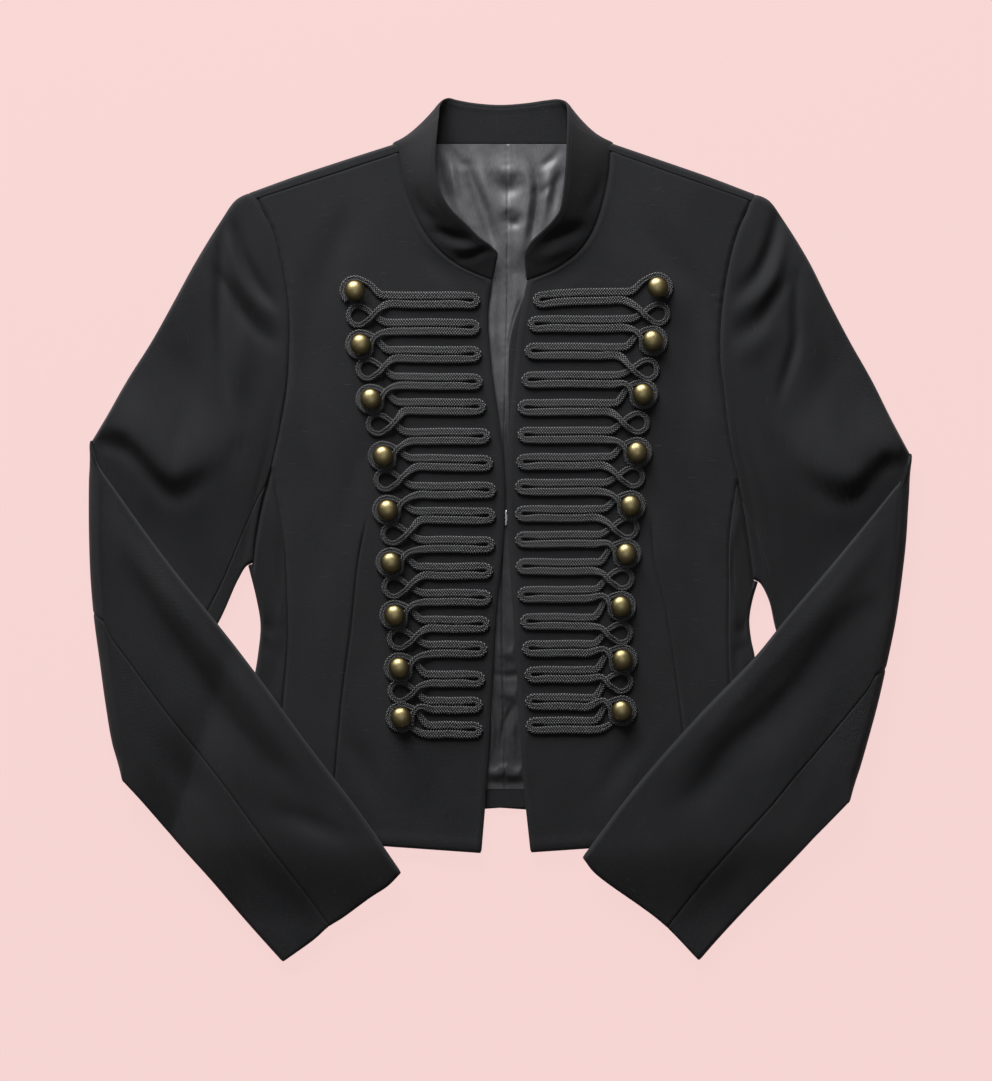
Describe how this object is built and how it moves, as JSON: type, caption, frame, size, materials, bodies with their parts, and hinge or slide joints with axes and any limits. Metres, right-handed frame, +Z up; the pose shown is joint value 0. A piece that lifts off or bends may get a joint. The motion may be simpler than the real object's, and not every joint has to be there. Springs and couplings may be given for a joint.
{
  "type": "napoleon jacket laid flat",
  "caption": "Short fitted jacket with a stand collar, braided frogging and domed buttons on both fronts, laid on its back with the sleeves folded in at the elbow.",
  "frame": {"origin": "middle of the jacket's box, on the surface that it lies on", "axes": "+Z up from the surface, +Y from hem to collar, +X to the wearer's left, which is the right of the picture"},
  "size_m": [0.6418, 0.674, 0.0241],
  "materials": {
    "suiting": "charcoal black wool suiting, fine weave with faint slubs, matte",
    "lining_satin": "dark grey satin lining, soft sheen",
    "braid": "plaited black cotton braid, matte with a light rib",
    "antique_brass": "antique brass, satin, darker at the rim",
    "hook_steel": "plain bent wire"
  },
  "bodies": {
    "root": {"back": "suiting", "stand_collar": "suiting", "back_lining": "lining_satin", "back_hem_facing": "suiting", "front_facing_left": "suiting", "front_right": "suiting", "side_panel_right": "suiting", "top_sleeve_right": "suiting", "under_sleeve_right": "suiting", "frogging_right": "braid", "button_right_1": "antique_brass", "button_right_2": "antique_brass", "button_right_3": "antique_brass", "button_right_4": "antique_brass", "button_right_5": "antique_brass", "button_right_6": "antique_brass", "button_right_7": "antique_brass", "button_right_8": "antique_brass", "button_right_9": "antique_brass", "front_left": "suiting", "side_panel_left": "suiting", "top_sleeve_left": "suiting", "under_sleeve_left": "suiting", "frogging_left": "braid", "button_left_1": "antique_brass", "button_left_2": "antique_brass", "button_left_3": "antique_brass", "button_left_4": "antique_brass", "button_left_5": "antique_brass", "button_left_6": "antique_brass", "button_left_7": "antique_brass", "button_left_8": "antique_brass", "button_left_9": "antique_brass", "hook": "hook_steel", "eye": "hook_steel"}
  },
  "joints": []
}
